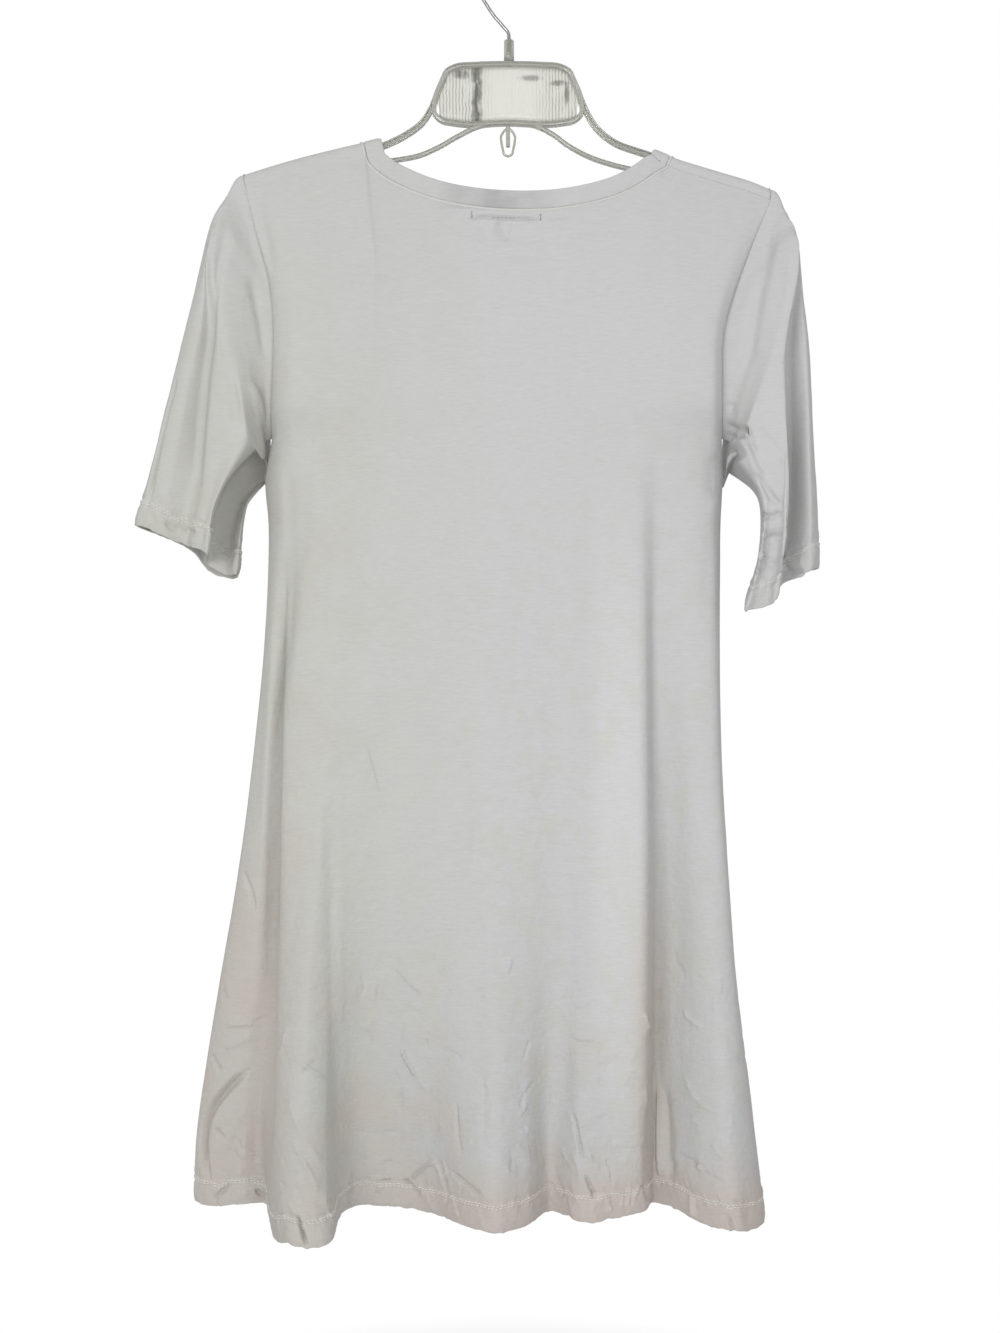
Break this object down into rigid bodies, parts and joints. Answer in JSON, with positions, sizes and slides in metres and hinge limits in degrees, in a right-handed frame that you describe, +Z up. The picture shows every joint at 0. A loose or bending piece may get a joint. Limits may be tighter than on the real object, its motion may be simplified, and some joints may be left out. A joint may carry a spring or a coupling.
{
  "type": "t-shirt dress on a clothes hanger",
  "caption": "A-line jersey t-shirt dress with elbow-length sleeves and a narrow round neck band, hanging in soft folds on a clear plastic hanger with a wire hook.",
  "frame": {"origin": "contact point on the underside of the hook's arch, where it rests on a rail", "axes": "+Z up; the hanger runs along X, with the wearer's left at -X; the dress's back faces -Y"},
  "size_m": [0.5506, 0.1779, 1.0158],
  "materials": {
    "jersey": "fine matt knit, pale grey",
    "clear_plastic": "clear, glossy moulded plastic",
    "ribbed_plastic": "clear plastic with fine upright ribs",
    "steel_wire": "bright drawn wire"
  },
  "bodies": {
    "root": {"back_panel": "jersey", "front_panel": "jersey", "sleeve_left": "jersey", "sleeve_right": "jersey", "neck_band": "jersey", "hanger_body": "clear_plastic", "hanger_window": "ribbed_plastic", "hanger_clip": "clear_plastic", "hook_sleeve": "clear_plastic", "hook": "steel_wire"}
  },
  "joints": []
}
